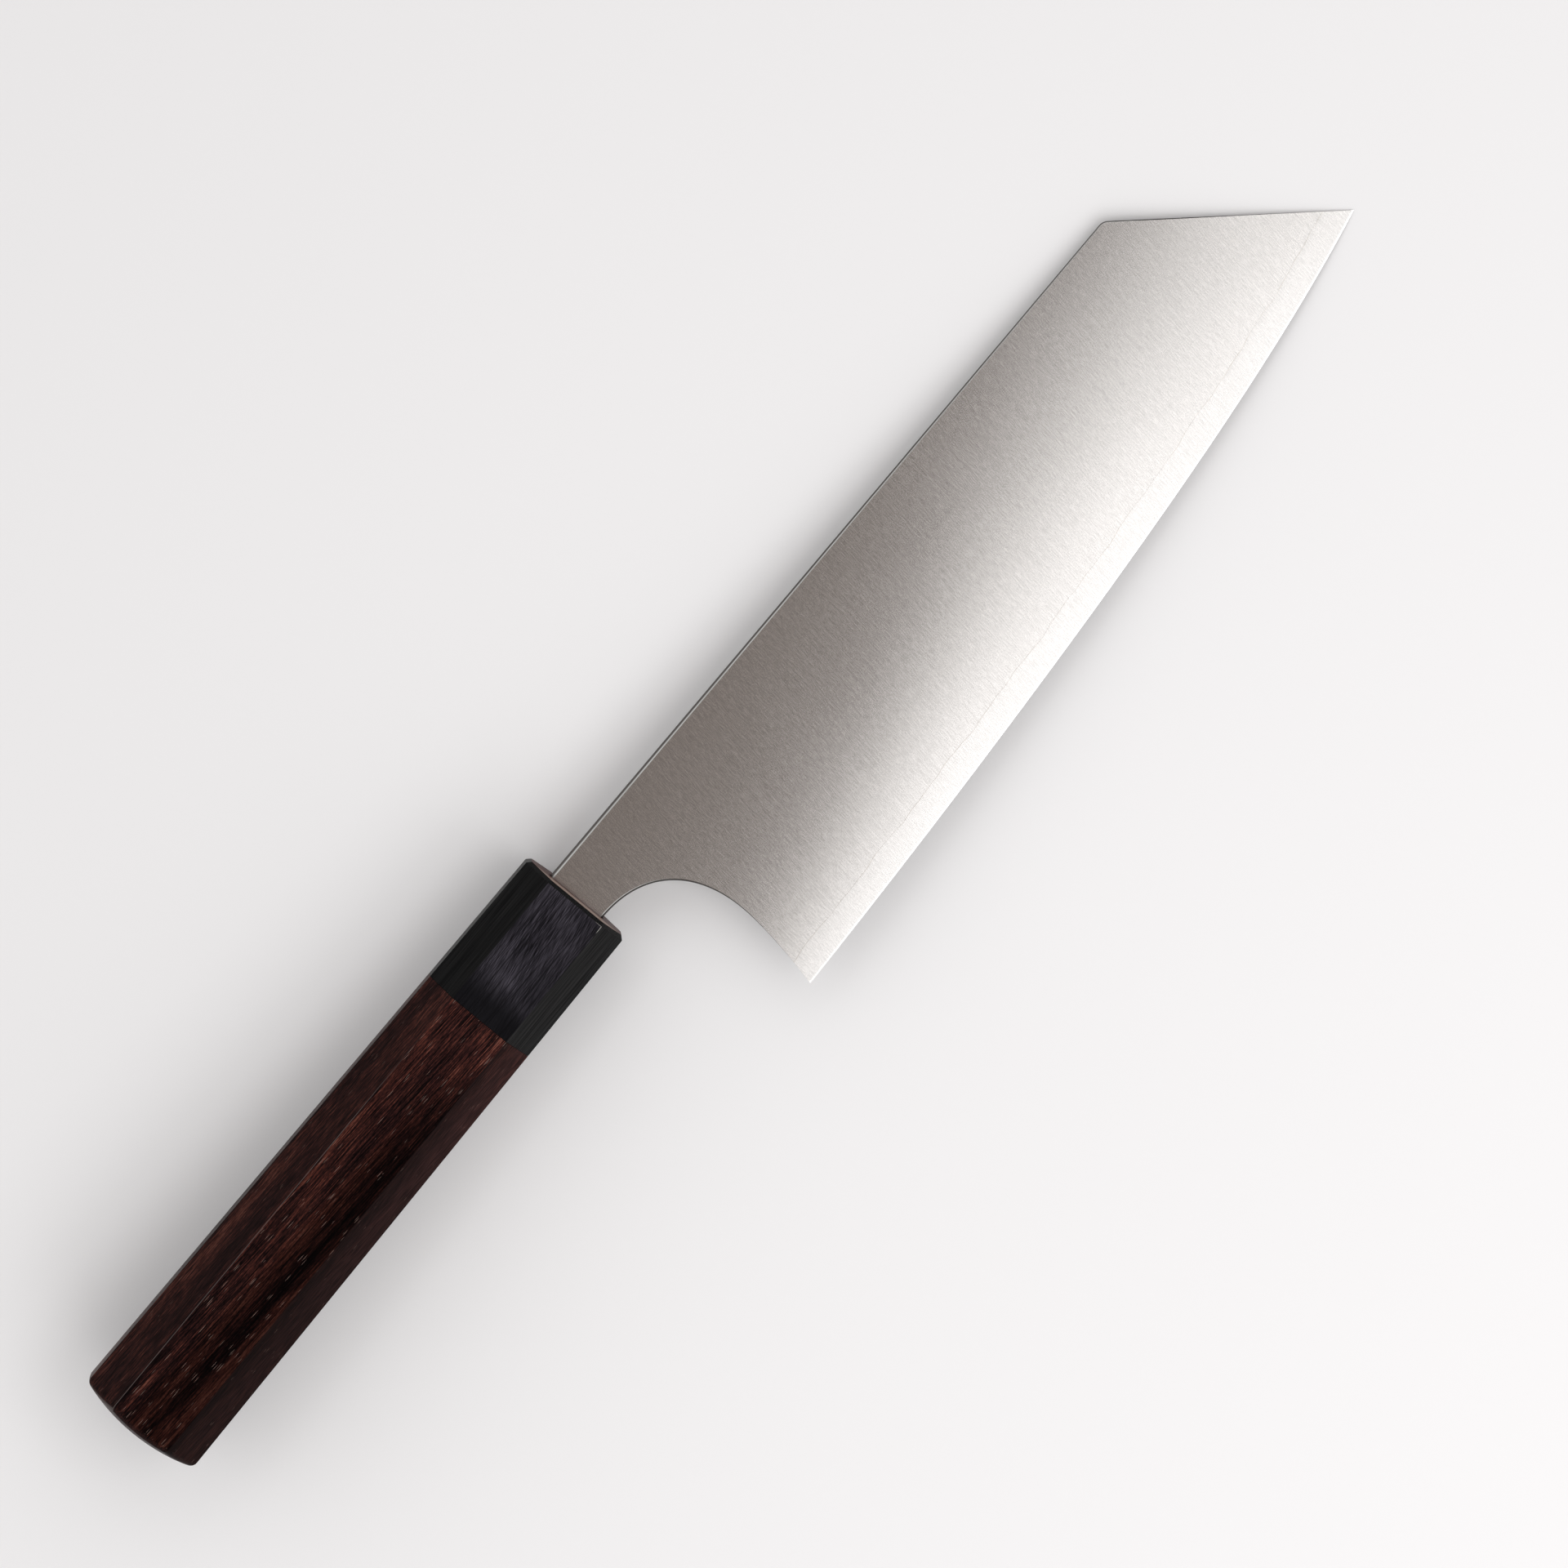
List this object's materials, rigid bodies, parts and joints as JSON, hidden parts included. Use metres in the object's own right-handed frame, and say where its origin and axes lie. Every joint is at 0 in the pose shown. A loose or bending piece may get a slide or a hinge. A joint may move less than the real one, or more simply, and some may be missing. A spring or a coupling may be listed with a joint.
{
  "type": "bunka knife",
  "caption": "Kitchen knife with a tall laminated blade, a straight spine clipped down to a low tip, and a tapered octagonal wooden handle with a dark ferrule.",
  "frame": {"origin": "middle of the ferrule's front face, where the blade leaves the handle", "axes": "+X along the handle's axis towards the tip, +Y towards the spine, +Z out of the blade's right face"},
  "size_m": [0.3291, 0.0583, 0.0218],
  "materials": {
    "core_steel": "fine cross-polished hardened steel",
    "cladding_steel": "fine cross-brushed stainless steel, polished on the spine and choil",
    "ferrule_wood": "satin black resin-impregnated wood",
    "handle_wood": "satin oiled rosewood with open pores",
    "dowel_wood": "bare turned hardwood",
    "resin": "hardened bedding resin"
  },
  "bodies": {
    "root": {"core_steel": "core_steel", "cladding_right": "cladding_steel", "cladding_left": "cladding_steel", "ferrule": "ferrule_wood", "handle_body": "handle_wood", "dowel": "dowel_wood", "tang_bedding": "resin"}
  },
  "joints": []
}
